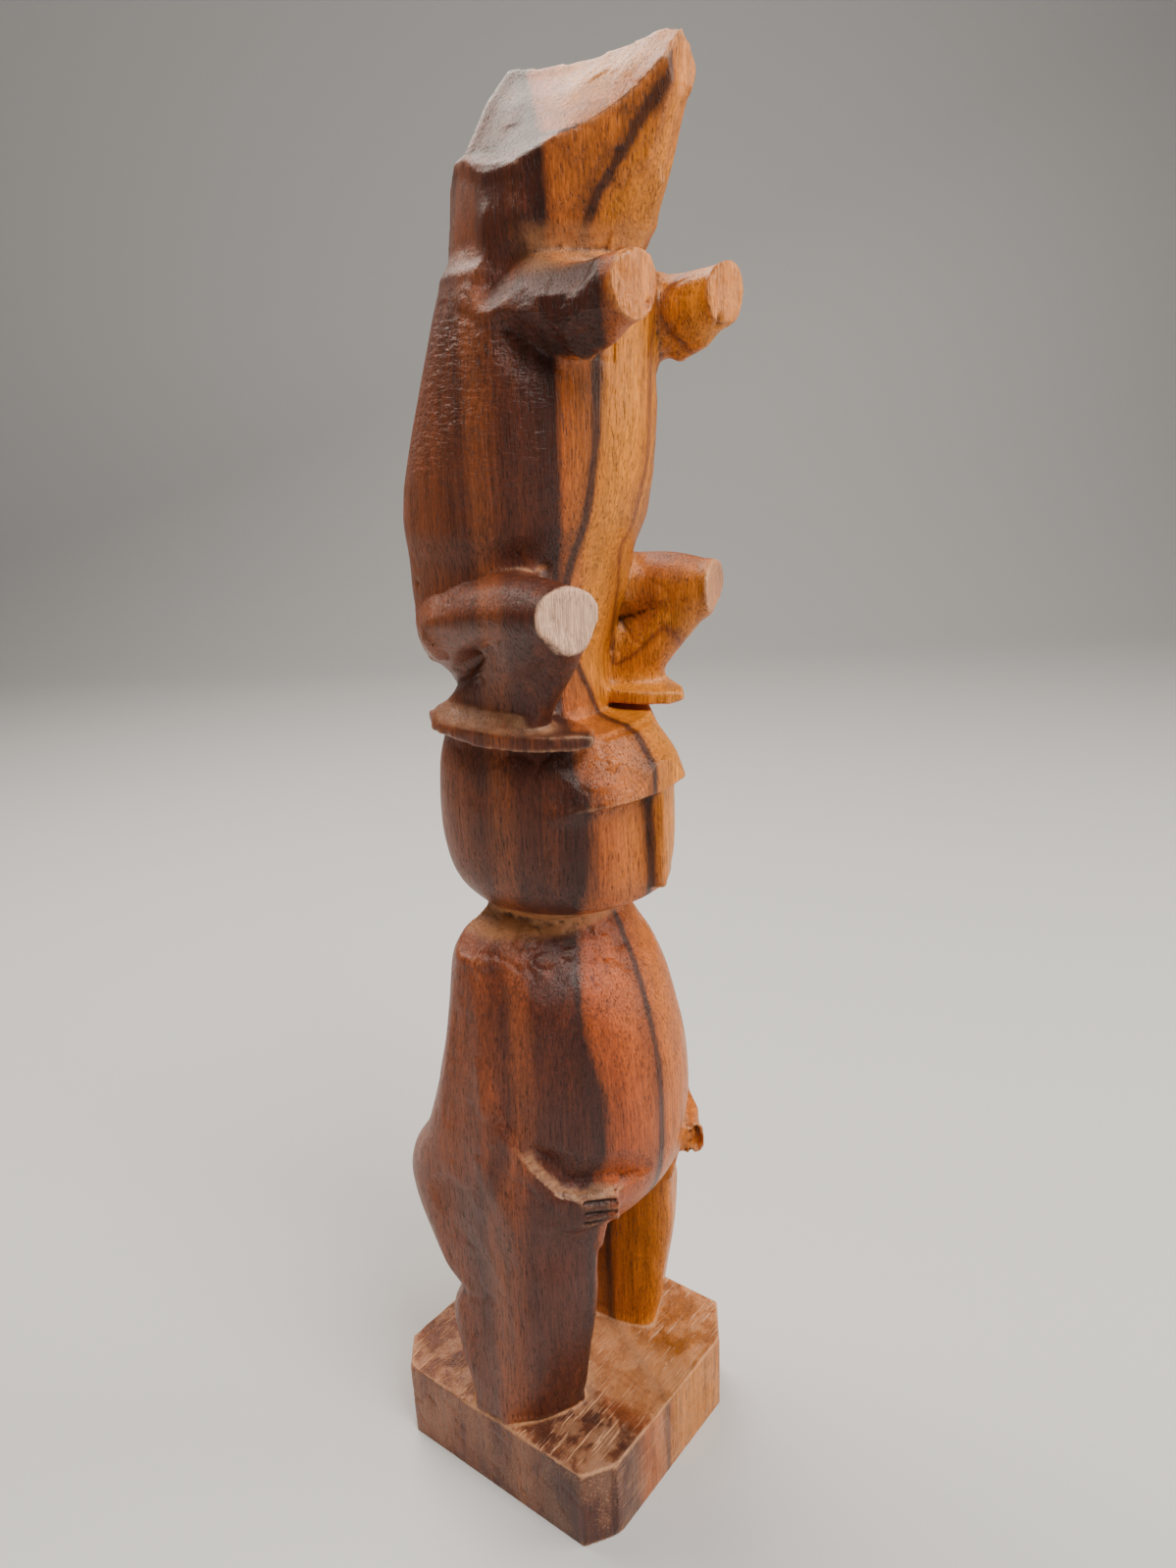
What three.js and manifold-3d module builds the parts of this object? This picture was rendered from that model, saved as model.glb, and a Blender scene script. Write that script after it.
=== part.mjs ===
// Carved hardwood totem pole: a bear squatting on the head of a standing figure, with the
// square base left on the same block. Millimetres, +Z up, the figures look towards -Y.
// The whole pole is one piece of wood, so every form below is joined into one solid.
import * as THREE from 'three';
import { mergeVertices } from 'three/addons/utils/BufferGeometryUtils.js';
import Module from 'manifold-3d';

const wasm = await Module();
wasm.setup();

// Driving dimensions, in millimetres
const POLE_HEIGHT = 300;
const BLOCK_HALF_WIDTH = 30.5; // the squared timber, left and right
const BLOCK_HALF_DEPTH = 32; // the squared timber, front and back
const BASE_TOP = 21;
const HEAD_TOP = 184.5; // flat top of the lower head, where the bear's feet stand
const ARM_END = -38.6; // sawn ends of the bear's forelegs
const KNEE_END = { x: 24.3, y: -29.3, z: 210, turn: 16 }; // sawn ends of the bear's knees
const LEFT_KNEE_DROP = 1.2; // the bear's left thigh sits lower than the right
const LEFT_FOREARM_PROUD = 2.6; // the figure's left forearm stands out more than the right
const FOOT_THICKNESS = 3;
const LEFT_FOOT_RISE = 1.8; // the bear's left foot was left higher than the right

// Facets round each kind of form
const TRUNK_FACETS = 36;
const LIMB_FACETS = 20;

// ---- solids from rings -------------------------------------------------------------------

// A superellipse ring. across and up are the half axes; below the centre line down takes the
// place of up. square is the exponent: 2 is an ellipse, more is a squarer section.
function ring({ centre, across, up, down = up, square = 2, facets = LIMB_FACETS }) {
  const points = [];
  for (let i = 0; i < facets; i++) {
    const angle = (2 * Math.PI * (i + 0.5)) / facets;
    const bend = (value) => Math.sign(value) * Math.abs(value) ** (2 / square);
    const along = bend(Math.cos(angle));
    const rise = bend(Math.sin(angle));
    points.push(
      centre.clone().addScaledVector(across, along).addScaledVector(rise > 0 ? up : down, rise),
    );
  }
  return points;
}

// A closed skin over a row of rings, flat at both ends.
function loft(rings) {
  const count = rings[0].length;
  const points = rings.flat();
  const faces = [];
  for (let level = 0; level + 1 < rings.length; level++) {
    for (let i = 0; i < count; i++) {
      const next = (i + 1) % count;
      const a = level * count + i;
      const b = level * count + next;
      faces.push(a, b, a + count, b, b + count, a + count);
    }
  }
  for (const level of [0, rings.length - 1]) {
    const middle = new THREE.Vector3();
    rings[level].forEach((point) => middle.addScaledVector(point, 1 / count));
    const hub = points.push(middle) - 1;
    for (let i = 0; i < count; i++) {
      const a = level * count + i;
      const b = level * count + ((i + 1) % count);
      faces.push(...(level === 0 ? [b, a, hub] : [a, b, hub]));
    }
  }
  const geometry = new THREE.BufferGeometry().setFromPoints(points);
  geometry.setIndex(faces);
  return solid(geometry);
}

// A manifold solid from a closed geometry, its faces turned outwards.
function solid(geometry) {
  const bare = geometry.clone();
  bare.deleteAttribute('normal');
  bare.deleteAttribute('uv');
  const merged = mergeVertices(bare, 1e-4);
  const vertices = merged.attributes.position.array;
  const index = Array.from(merged.index.array);
  const corner = (i) => new THREE.Vector3().fromArray(vertices, 3 * index[i]);
  let volume = 0;
  for (let i = 0; i < index.length; i += 3) {
    volume += corner(i).dot(corner(i + 1).cross(corner(i + 2)));
  }
  if (volume < 0) index.reverse();
  return new wasm.Manifold(
    new wasm.Mesh({
      numProp: 3,
      vertProperties: Float32Array.from(vertices),
      triVerts: Uint32Array.from(index),
    }),
  );
}

// A trunk: level rings, each [height, middle y, half width, front depth, back depth, square].
// slope lifts the front of every ring, in millimetres for each millimetre forwards.
function trunk(levels, { middleX = 0, slope = 0 } = {}) {
  return loft(
    levels.map(([z, y, halfWidth, front, back, square = 2.3]) =>
      ring({
        centre: new THREE.Vector3(middleX, y, z),
        across: new THREE.Vector3(halfWidth, 0, 0),
        up: new THREE.Vector3(0, back, -slope * back),
        down: new THREE.Vector3(0, front, -slope * front),
        square,
        facets: TRUNK_FACETS,
      }),
    ),
  );
}

// A post: level rings through a few named corners, rounded between them.
function post(levels, corners) {
  return loft(
    levels.map((level) => {
      const path = new THREE.CatmullRomCurve3(corners(level), true, 'catmullrom', 0.5);
      return path.getPoints(TRUNK_FACETS).slice(0, TRUNK_FACETS);
    }),
  );
}

// A limb that runs forwards: upright rings, each [y, x, z, half width, rise, drop, square].
function reach(stations, hand) {
  return loft(
    stations.map(([y, x, z, halfWidth, rise, drop, square = 2.2]) =>
      ring({
        centre: new THREE.Vector3(hand * x, y, z),
        across: new THREE.Vector3(halfWidth, 0, 0),
        up: new THREE.Vector3(0, 0, rise),
        down: new THREE.Vector3(0, 0, drop),
        square,
      }),
    ),
  );
}

// A block that takes away everything beyond a plane through a point.
function beyond(point, normal, size = 80) {
  const box = new THREE.BoxGeometry(size, size, size);
  const way = normal.clone().normalize();
  box.applyQuaternion(new THREE.Quaternion().setFromUnitVectors(new THREE.Vector3(0, 0, 1), way));
  const middle = point.clone().addScaledVector(way, size / 2);
  box.translate(middle.x, middle.y, middle.z);
  return solid(box);
}

const point = (x, y, z) => new THREE.Vector3(x, y, z);

function joined(parts) {
  return parts.reduce((whole, next) => whole.add(next));
}

// ---- base --------------------------------------------------------------------------------

// The squared timber with its corners sawn off, no two alike.
function base() {
  const [w, d] = [BLOCK_HALF_WIDTH, BLOCK_HALF_DEPTH];
  const outline = new THREE.Shape();
  outline.moveTo(-w, -d + 4.6);
  outline.lineTo(-w + 7, -d);
  outline.lineTo(w - 10, -d);
  outline.lineTo(w, -d + 6.7);
  outline.lineTo(w, d - 6);
  outline.lineTo(w - 7, d);
  outline.lineTo(-w + 6.8, d);
  outline.lineTo(-w, d - 5.9);
  return solid(new THREE.ExtrudeGeometry(outline, { depth: BASE_TOP, bevelEnabled: false }));
}

// ---- standing figure ---------------------------------------------------------------------

// Neck, sloping shoulders and a pot belly that hangs between the arms.
function figureTrunk() {
  return trunk([
    [62, 3, 25, 15, 17, 2.4],
    [68, 2, 27, 21, 22, 2.4],
    [75, 1, 28, 27, 26, 2.2],
    [82, 0, 28.4, 30, 26, 2.1],
    [90, -1, 28.4, 31, 24, 2],
    [98, -1, 28.2, 31.6, 21.6, 2],
    [105, -1, 27.8, 31.4, 19.6, 2],
    [111, -1, 27.4, 30.6, 18, 2],
    [118, -1, 26.6, 28.8, 16.6, 2],
    [125, -1, 25.4, 26, 15.4, 2.1],
    [132, -1, 23.8, 22, 14.6, 2.1],
    [137.5, -1, 21.2, 16.8, 14, 2.1],
    [140.5, -2, 17.6, 13.2, 13, 2.1],
    [142.5, -3, 14.4, 12.8, 11.6, 2.1],
    [152, -3, 14, 13.6, 11, 2.1],
  ]);
}

// One side of the figure, in a single sweep of the timber's outer face: a bent leg whose calf
// swells under the crease behind the knee, the hip, and the upper arm with its shoulder.
function figureSide(hand) {
  const inner = 9.6;
  const levels = [
    // [height, outer face, its back edge, back, its front edge, front]
    [BASE_TOP - 4, 31, 1.6, 7, -4, -13],
    [BASE_TOP, 30.6, 3.4, 9, -4.8, -14.8],
    [26, 30, 5.4, 10.4, -5.8, -16.6],
    [34, 29.4, 8.2, 13.2, -7.4, -18],
    [41, 28.8, 10.6, 15.4, -8.6, -19.4],
    [47, 28.4, 10.4, 14.8, -9.8, -20.6],
    [51.5, 28.1, 6.2, 10, -10.4, -21.4],
    [56, 28, 12, 16, -10.6, -21.8],
    [62, 28.2, 15, 20.5, -10.6, -21.6],
    [70, 28.7, 17.6, 25.5, -11, -22.2],
    [78, 29.4, 18.2, 27.4, -11.6, -24],
    [85, 30, 16, 24.4, -10, -23],
    [92, 30, 12, 19, -7, -19],
    [98, 29.6, 10, 17, -7, -17],
    [105, 28.9, 8.6, 15, -6.8, -16],
    [115, 27.6, 6.8, 13, -4.8, -14],
    [125, 26.2, 5.6, 12, -2.6, -12],
    [134, 24.8, 5, 11.6, -1.2, -9],
    [138.6, 23.6, 4.6, 9.8, -0.8, -8],
    [142, 20, 3.4, 7.4, -1, -7],
    [145.4, 14.6, 2, 4.6, -2, -6],
  ];
  return post(levels, ([z, outer, outerBack, back, outerFront, front]) => {
    const core = Math.min(inner, outer - 8);
    return [
      point(hand * outer, outerFront, z),
      point(hand * outer, (outerFront + outerBack) / 2, z),
      point(hand * outer, outerBack, z),
      point(hand * (core + outer) * 0.52, back, z),
      point(hand * (core + 1.6), back * 0.7, z),
      point(hand * core, (front + back) / 2, z),
      point(hand * (core + 2.4), front * 0.9, z),
      point(hand * Math.min(16.8, outer - 3), front, z),
    ];
  });
}

// Forearm and hand, standing proud of the belly under a bevelled upper edge. The left one is
// cut less deep.
function figureForearm(hand) {
  const proud = hand > 0 ? LEFT_FOREARM_PROUD : 0;
  const stations = [
    // edge: outer corner of the bevel; drop: from there to the underside; depth: into the wood
    { edge: point(28.6, -6, 106.5), out: point(1, -0.1, 0), drop: 5, depth: 5 },
    { edge: point(28.4, -10.4, 100.6), out: point(0.96, -0.3, 0), drop: 9, depth: 7 },
    { edge: point(26.4, -15.4, 93.4), out: point(0.9, -0.45, 0), drop: 12, depth: 8 },
    { edge: point(23.6, -19.4, 87), out: point(0.78, -0.62, 0), drop: 12, depth: 8 },
    { edge: point(20.6, -23.4, 85.8), out: point(0.66, -0.75, 0), drop: 9.4, depth: 8 },
    { edge: point(14.4, -28.4, 86), out: point(0.5, -0.87, 0), drop: 8, depth: 6 },
  ];
  const rings = stations.map(({ edge, out, drop, depth }, i) => {
    const before = stations[Math.max(i - 1, 0)].edge;
    const after = stations[Math.min(i + 1, stations.length - 1)].edge;
    const along = after.clone().sub(before).normalize();
    const outward = out.clone().addScaledVector(along, -out.dot(along)).normalize();
    const upper = along.clone().cross(outward).normalize();
    const centre = edge
      .clone()
      .addScaledVector(upper, -0.46 * drop)
      .addScaledVector(outward, proud - 0.46 * depth);
    return ring({
      centre,
      across: upper.multiplyScalar(drop / 2),
      up: outward.multiplyScalar(depth / 2),
      square: 3.4,
    }).map((p) => point(hand * p.x, p.y, p.z));
  });
  return loft(rings);
}

// Barrel head under a cap whose brow juts out to a beak, with flat cheeks and a slab nose.
function figureHead() {
  const skull = trunk([
    [144.5, -3, 14, 15.5, 11.5, 2.1],
    [147, -3, 17.6, 21.4, 15, 2.2],
    [150, -3, 20.2, 25.8, 17.6, 2.3],
    [154, -3, 22, 26.6, 19.2, 2.4],
    [161, -3, 22.8, 26.2, 20.4, 2.5],
    [170, -3, 23.2, 26, 20.8, 2.4],
    [178, -3, 22.4, 24.2, 20, 2.4],
    [HEAD_TOP, -3, 20.3, 21, 18, 2.4],
  ]);
  const cap = trunk(
    [
      [166.2, -8, 20.6, 18, 12, 2],
      [167.8, -8, 22.4, 26.4, 13, 1.8],
      [173, -8, 21.4, 24.4, 13, 1.9],
      [180, -8, 18, 18.5, 12, 2],
    ],
    { slope: 0.21 },
  );
  const nose = trunk([
    [151.6, -25, 2.6, 7, 4, 1.4],
    [154.2, -25, 2.8, 9.2, 4, 1.4],
    [173, -25, 2.2, 7.2, 4, 1.4],
  ]);
  return joined([skull, cap, nose]);
}

// ---- bear --------------------------------------------------------------------------------

// Body, leaning slightly forwards to the neck.
function bearTrunk() {
  return trunk([
    [HEAD_TOP - 3, -1, 16, 13, 12, 2.2],
    [190, -1, 16.5, 13, 13.5, 2.2],
    [196, 0, 18.5, 13.5, 17, 2.2],
    [203, 1, 21.5, 16.5, 20.5, 2.2],
    [210, 1, 22.6, 19.4, 21.5, 2.2],
    [217, 0.5, 23, 21.4, 22, 2.1],
    [223, -1, 24, 22.8, 24.8, 2.1],
    [230, -2, 24.2, 23.8, 24.6, 2.1],
    [238, -3.6, 23.6, 23.4, 23.6, 2.1],
    [246, -5, 22.4, 22.4, 22.4, 2.1],
    [254, -6.4, 21.2, 21.6, 21.2, 2.1],
    [262, -7.6, 19.6, 21, 20.2, 2.1],
    [267, -8.4, 18, 20, 19.2, 2.1],
    [270, -8.6, 13, 16, 15, 2.1],
  ]);
}

// Thigh from the hip to the sawn knee.
function bearThigh(hand) {
  const thigh = reach(
    [
      [16, 10, 203.5, 6, 3.5, 5],
      [12, 12.5, 203.5, 8.6, 6, 7.5],
      [5, 16.5, 204.5, 10, 7.6, 8],
      [-5, 19, 207, 9.2, 7.6, 6],
      [-14, 20.8, 209, 8.6, 7.4, 5.6],
      [-22, 22.2, 210, 7.8, 6.4, 5.4],
      [-33, 24.4, 210, 6.2, 4.2, 4.4],
    ],
    hand,
  );
  return hand > 0 ? thigh.translate([0, 0, -LEFT_KNEE_DROP]) : thigh;
}

// Lower leg, slanting back from under the knee to the heel.
function bearShin(hand) {
  const levels = [
    // [height, middle x, middle y, half width, half depth]
    [185, 18.2, -3, 7, 13],
    [188.5, 18.2, -4.6, 7.2, 14],
    [193, 19, -8.8, 7.2, 13],
    [198, 20, -14.5, 7, 11.4],
    [203, 21.4, -20, 6.6, 9.6],
    [207, 22.6, -24, 6, 8],
    [210, 23, -26, 4, 6],
  ];
  return loft(
    levels.map(([z, x, y, halfWidth, halfDepth]) =>
      ring({
        centre: point(hand * x, y, z),
        across: point(halfWidth, 0, 0),
        up: point(0, halfDepth, 0),
        square: 2.3,
      }),
    ),
  );
}

// Flat leaf of a foot, sharp at the heel and blunt at the toe. The left one sits higher.
function bearFoot(hand) {
  const outline = new THREE.Shape();
  outline.moveTo(hand * 16.5, 14.5);
  outline.quadraticCurveTo(hand * 25, 4, hand * 25.2, -8);
  outline.quadraticCurveTo(hand * 25, -20, hand * 15.5, -27.5);
  outline.quadraticCurveTo(hand * 9, -24, hand * 8, -12);
  outline.quadraticCurveTo(hand * 9, 4, hand * 16.5, 14.5);
  const leaf = new THREE.ExtrudeGeometry(outline, {
    depth: FOOT_THICKNESS,
    bevelEnabled: false,
    curveSegments: 6,
  });
  leaf.translate(0, 0, HEAD_TOP - 0.5 + (hand > 0 ? LEFT_FOOT_RISE : 0));
  return solid(leaf);
}

// Foreleg: boat shaped, deepest under the elbow, sawn off in front.
function bearForeleg(hand) {
  return reach(
    [
      [2, 13, 264, 3, 2.5, 2],
      [-4, 12.6, 263, 5.4, 4.5, 3.5, 1.7],
      [-12, 13.2, 260.5, 6.6, 7.2, 5, 1.7],
      [-20, 13.6, 259, 6.2, 8.2, 7, 1.7],
      [-28, 14.2, 259.5, 5.6, 7, 8.8, 1.9],
      [-34, 14.2, 261, 4.4, 5.8, 8, 1.9],
      [-42, 13.6, 264, 3.1, 3.4, 5, 2.1],
    ],
    hand,
  );
}

// Head: a hipped roof from the crown to the raised snout over cheeks that close to a keel.
function bearHead() {
  // [y, roof height, ridge half width, ridge height, jaw half width, keel height]
  const stations = [
    [10, 272, 6, 270, 6, 262],
    [7.6, 284, 6.4, 282, 8.6, 262],
    [2, 291.5, 11, 284.5, 14.2, 262],
    [-2.2, POLE_HEIGHT, 13.4, 284.3, 15.8, 262],
    [-9, 298.9, 15.6, 281.6, 16.6, 262],
    [-16, 298.4, 16, 281.8, 14.6, 262],
    [-22, 298.4, 14.2, 284, 10.4, 263],
    [-29, 299, 10, 287.2, 5.4, 268],
    [-34, 299.8, 6.6, 291, 4, 278],
    [-38, 299, 4.4, 295, 3, 290.5],
  ];
  const rings = stations.map(([y, roof, ridgeX, ridgeZ, jawX, keel]) => {
    const half = [
      [ridgeX * 0.45, roof - (roof - ridgeZ) * 0.36],
      [ridgeX, ridgeZ],
      [ridgeX * 0.7 + jawX * 0.34, ridgeZ - (ridgeZ - keel) * 0.35],
      [jawX, ridgeZ - (ridgeZ - keel) * 0.78],
    ];
    return [
      point(0, y, roof),
      ...half.map(([x, z]) => point(x, y, z)),
      point(0, y, keel),
      ...half.reverse().map(([x, z]) => point(-x, y, z)),
    ];
  });
  return loft(rings);
}

// ---- the pole ----------------------------------------------------------------------------

// The squared timber that the figure is cut from: its faces trim what bulges past them.
function timber() {
  const box = new THREE.BoxGeometry(2 * BLOCK_HALF_WIDTH, 2 * BLOCK_HALF_DEPTH, POLE_HEIGHT);
  box.translate(0, 0, POLE_HEIGHT / 2);
  return solid(box);
}

function carving() {
  const figure = joined([
    figureTrunk(),
    figureHead(),
    ...[-1, 1].flatMap((hand) => [figureSide(hand), figureForearm(hand)]),
  ]);
  let bear = joined([bearTrunk(), bearHead()]);
  for (const hand of [-1, 1]) {
    const knee = point(hand * KNEE_END.x, KNEE_END.y, KNEE_END.z);
    const turn = THREE.MathUtils.degToRad(KNEE_END.turn);
    const kneeFace = point(hand * Math.sin(turn), -Math.cos(turn), 0);
    const hindLeg = joined([bearThigh(hand), bearShin(hand)]).subtract(beyond(knee, kneeFace));
    const foreleg = bearForeleg(hand).subtract(beyond(point(0, ARM_END, 0), point(0, -1, 0), 700));
    bear = joined([bear, hindLeg, bearFoot(hand), foreleg]);
  }
  return joined([base(), figure.intersect(timber()), bear]);
}

function meshOf(shape) {
  const { vertProperties, triVerts } = shape.getMesh();
  const geometry = new THREE.BufferGeometry();
  geometry.setAttribute('position', new THREE.BufferAttribute(vertProperties, 3));
  geometry.setIndex(new THREE.BufferAttribute(triVerts, 1));
  return geometry;
}

const hardwood = new THREE.MeshStandardMaterial({ color: 0x7c3b22, roughness: 0.38, metalness: 0 });
const totem = new THREE.Group();
const pole = new THREE.Mesh(meshOf(carving()), hardwood);
pole.name = 'totem_carving';
totem.add(pole);

export default totem;
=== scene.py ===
"""Carved hardwood totem pole: a bear on the head of a standing figure, all in one block."""

import math

import bmesh
import bpy
import numpy as np
from mathutils import Matrix, Vector, kdtree


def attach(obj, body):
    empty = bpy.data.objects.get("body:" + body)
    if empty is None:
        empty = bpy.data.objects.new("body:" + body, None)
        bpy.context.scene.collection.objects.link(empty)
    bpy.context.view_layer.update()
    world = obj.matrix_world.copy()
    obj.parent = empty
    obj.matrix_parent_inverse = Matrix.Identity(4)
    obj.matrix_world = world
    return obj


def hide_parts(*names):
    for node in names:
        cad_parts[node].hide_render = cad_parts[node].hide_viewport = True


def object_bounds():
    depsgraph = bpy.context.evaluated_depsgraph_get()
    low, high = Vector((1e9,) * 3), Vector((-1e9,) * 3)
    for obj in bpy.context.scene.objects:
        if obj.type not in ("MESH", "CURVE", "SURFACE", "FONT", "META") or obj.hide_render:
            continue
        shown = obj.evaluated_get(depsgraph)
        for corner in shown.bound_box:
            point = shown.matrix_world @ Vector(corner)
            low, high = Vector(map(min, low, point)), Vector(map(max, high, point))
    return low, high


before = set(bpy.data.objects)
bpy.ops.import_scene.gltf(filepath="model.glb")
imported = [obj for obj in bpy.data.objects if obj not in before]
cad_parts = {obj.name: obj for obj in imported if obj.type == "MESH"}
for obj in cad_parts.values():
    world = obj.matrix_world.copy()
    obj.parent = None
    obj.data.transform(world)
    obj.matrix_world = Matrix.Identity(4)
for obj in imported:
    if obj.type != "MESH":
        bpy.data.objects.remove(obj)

cad_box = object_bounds()

MM = 0.001
SEED = 11

# Mesh of the carving
VOXEL = 0.5  # mm
TRIANGLES = 190_000

# Heights on the pole, mm
BASE_TOP = 21.0
NECK = 143.5  # of the standing figure
FOOT_TOP = 187.1  # the bear's right foot
LEFT_FOOT_RISE = 1.8
THROAT = 268.5  # of the bear

# Half the base's width and depth, mm
HALF_WIDTH, HALF_DEPTH = 30.5, 32.0


# ---- the carving as arrays ---------------------------------------------------------------


def as_arrays(mesh):
    """Points in mm, unit normals, and the edges that join them."""
    points = np.empty(3 * len(mesh.vertices))
    mesh.vertices.foreach_get("co", points)
    normals = np.empty(3 * len(mesh.vertices))
    mesh.vertices.foreach_get("normal", normals)
    edges = np.empty(2 * len(mesh.edges), dtype=np.int32)
    mesh.edges.foreach_get("vertices", edges)
    return points.reshape(-1, 3) / MM, normals.reshape(-1, 3), edges.reshape(-1, 2)


def put_points(mesh, points):
    mesh.vertices.foreach_set("co", (points * MM).ravel())
    mesh.update()


def normals_of(mesh, points):
    put_points(mesh, points)
    return as_arrays(mesh)[1]


def neighbour_mean(values, edges):
    """The mean of each point's neighbours, for one column or several."""
    count = len(values)
    a, b = edges.T
    degree = np.bincount(a, minlength=count) + np.bincount(b, minlength=count)
    columns = values.reshape(count, -1).T
    total = [
        np.bincount(a, column[b], count) + np.bincount(b, column[a], count) for column in columns
    ]
    return (np.array(total) / np.maximum(degree, 1)).T.reshape(values.shape)


def relax(points, edges, weight, rounds):
    """Evens out the surface where weight is 1 and leaves it where weight is 0."""
    for _ in range(rounds):
        points = points + weight[:, None] * 0.7 * (neighbour_mean(points, edges) - points)
    return points


def ease(value, low, high):
    """0 below low, 1 above high, smooth between them."""
    t = np.clip((value - low) / (high - low), 0.0, 1.0)
    return t * t * (3.0 - 2.0 * t)


def fade(value, full, none):
    """1 up to full, 0 past none, smooth between them."""
    return ease(-value, -none, -full)


def hash_noise(cells, salt):
    """A fixed number from 0 to 1 for each whole-numbered cell."""
    x, y, z = cells.astype(np.int64).T
    mixed = (x * 73856093) ^ (y * 19349663) ^ (z * 83492791) ^ (salt * 2654435761)
    mixed = (mixed ^ (mixed >> 13)) * 1274126177 & 0x7FFFFFFF
    return (mixed ^ (mixed >> 16)) % 65536 / 65535.0


def noise(points, size, salt=0):
    """Smooth value noise from -1 to 1. size is one length or one for each axis, in mm."""
    scaled = points / np.asarray(size, dtype=float)
    cell = np.floor(scaled)
    inside = scaled - cell
    inside = inside * inside * (3.0 - 2.0 * inside)
    total = np.zeros(len(points))
    for corner in np.ndindex(2, 2, 2):
        share = np.prod(np.where(corner, inside, 1.0 - inside), axis=1)
        total += share * hash_noise(cell + corner, salt)
    return 2.0 * total - 1.0


def path_distance(points, path):
    """Distance from each point to a line through the path's corners, in mm."""
    nearest = np.full(len(points), np.inf)
    path = np.asarray(path, dtype=float)
    for start, end in zip(path[:-1], path[1:]):
        along = end - start
        share = np.clip((points - start) @ along / (along @ along), 0.0, 1.0)
        gap = np.linalg.norm(points - start - share[:, None] * along, axis=1)
        nearest = np.minimum(nearest, gap)
    return nearest


# ---- the carver's lines, mm --------------------------------------------------------------


GOUGE_SWEEP = 80.0  # radius of the shallow gouge, mm
LEDGE_BEVEL = 2.8  # width of the bright bevel over the forearm, mm

# The forelegs' sawn ends face a little towards the bear's right
FORELEG_MIDDLE = 14.0  # from the pole's middle plane, mm
SAW_TURN = math.radians(15)
SAWN_FACING = np.array([-math.sin(SAW_TURN), -math.cos(SAW_TURN), 0.06])

# Lines of the carving for the side at +X, and the same lines mirrored for the other side.
FOREARM_LEDGE = [
    (28.6, -6.0, 106.5), (28.2, -9.6, 101.6), (26.4, -15.2, 93.5), (23.6, -19.4, 87.0),
    (20.6, -23.4, 85.8), (14.4, -28.4, 86.0),
]
FOOT_RIM = [
    (17.0, 14.0, 187.0), (22.6, 6.5, 187.0), (25.0, -2.0, 187.0), (25.2, -10.0, 187.0),
    (23.4, -18.0, 187.0), (19.5, -23.8, 187.0), (15.5, -27.2, 187.0),
]

# Ends that the carver rounded over: [line, how far round it, mm]
ROUNDED = [
    ([(15.4, -27.4, 184.0), (15.4, -27.4, 190.0)], 3.4),
    ([(17.0, 14.6, 184.0), (17.0, 14.6, 190.0)], 2.6),
    ([(10.0, -24.4, 184.0), (10.0, -24.4, 190.0)], 2.4),
    ([(12.6, -29.4, 77.0), (12.0, -30.0, 84.0)], 2.0),
]

# Ridges between two knife cuts: [line, width, height]
RIDGES = [
    # foreleg: the edge between its top and its underside
    ([(17.0, -6.0, 261.6), (19.0, -13.0, 258.6), (19.4, -19.5, 258.0), (18.2, -24.0, 261.0),
      (16.4, -28.6, 263.4), (15.0, -36.0, 265.2)], 3.4, 0.75),
    ([(18.8, -20.0, 257.6), (18.4, -26.0, 256.6), (17.0, -34.0, 257.6)], 3.0, 0.45),
    # bear: flank above the hip
    ([(22.0, 12.0, 223.0), (24.4, 0.0, 222.4), (22.0, -11.0, 222.6), (14.0, -20.5, 223.0)],
     5.0, 0.4),
    ([(23.4, -3.0, 240.0), (20.0, -14.0, 243.0), (12.0, -23.0, 245.0)], 5.0, 0.25),
    # bear: thigh, top edge and outer edge
    ([(17.0, 4.0, 212.0), (20.0, -8.0, 213.6), (22.2, -20.0, 215.2), (23.2, -28.0, 215.4)],
     3.2, 0.45),
    ([(26.6, 2.0, 207.0), (28.4, -8.0, 208.6), (29.6, -22.0, 210.0)], 3.0, 0.4),
    # bear: outer edge of the shin
    ([(26.0, -22.0, 203.0), (25.2, -12.0, 196.0), (25.0, -4.0, 190.5)], 3.0, 0.4),
    # standing figure: shoulder, upper arm, hip and leg
    ([(24.2, 5.0, 137.6), (24.2, -1.0, 137.4), (20.6, -9.6, 138.4), (12.0, -15.6, 138.4),
      (0.0, -18.4, 138.2)], 3.2, 0.55),
    ([(24.4, -1.2, 136.0), (26.0, -2.6, 125.0), (27.4, -4.8, 115.0), (28.6, -6.6, 106.0)],
     3.2, 0.5),
    ([(29.2, -4.0, 92.0), (29.6, -10.0, 82.0), (28.6, -11.2, 70.0), (28.0, -10.8, 58.0),
      (28.4, -9.8, 47.0), (29.2, -7.4, 35.0), (30.0, -5.4, 25.0)], 3.4, 0.45),
    ([(29.6, 6.0, 88.0), (29.0, 0.0, 74.0), (28.2, -6.0, 62.0), (28.2, -9.4, 50.0)], 3.0, 0.3),
    ([(28.8, 14.0, 70.0), (28.2, 11.6, 58.0), (28.4, 8.0, 45.0), (29.4, 6.0, 33.0)], 3.0, 0.35),
]

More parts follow.
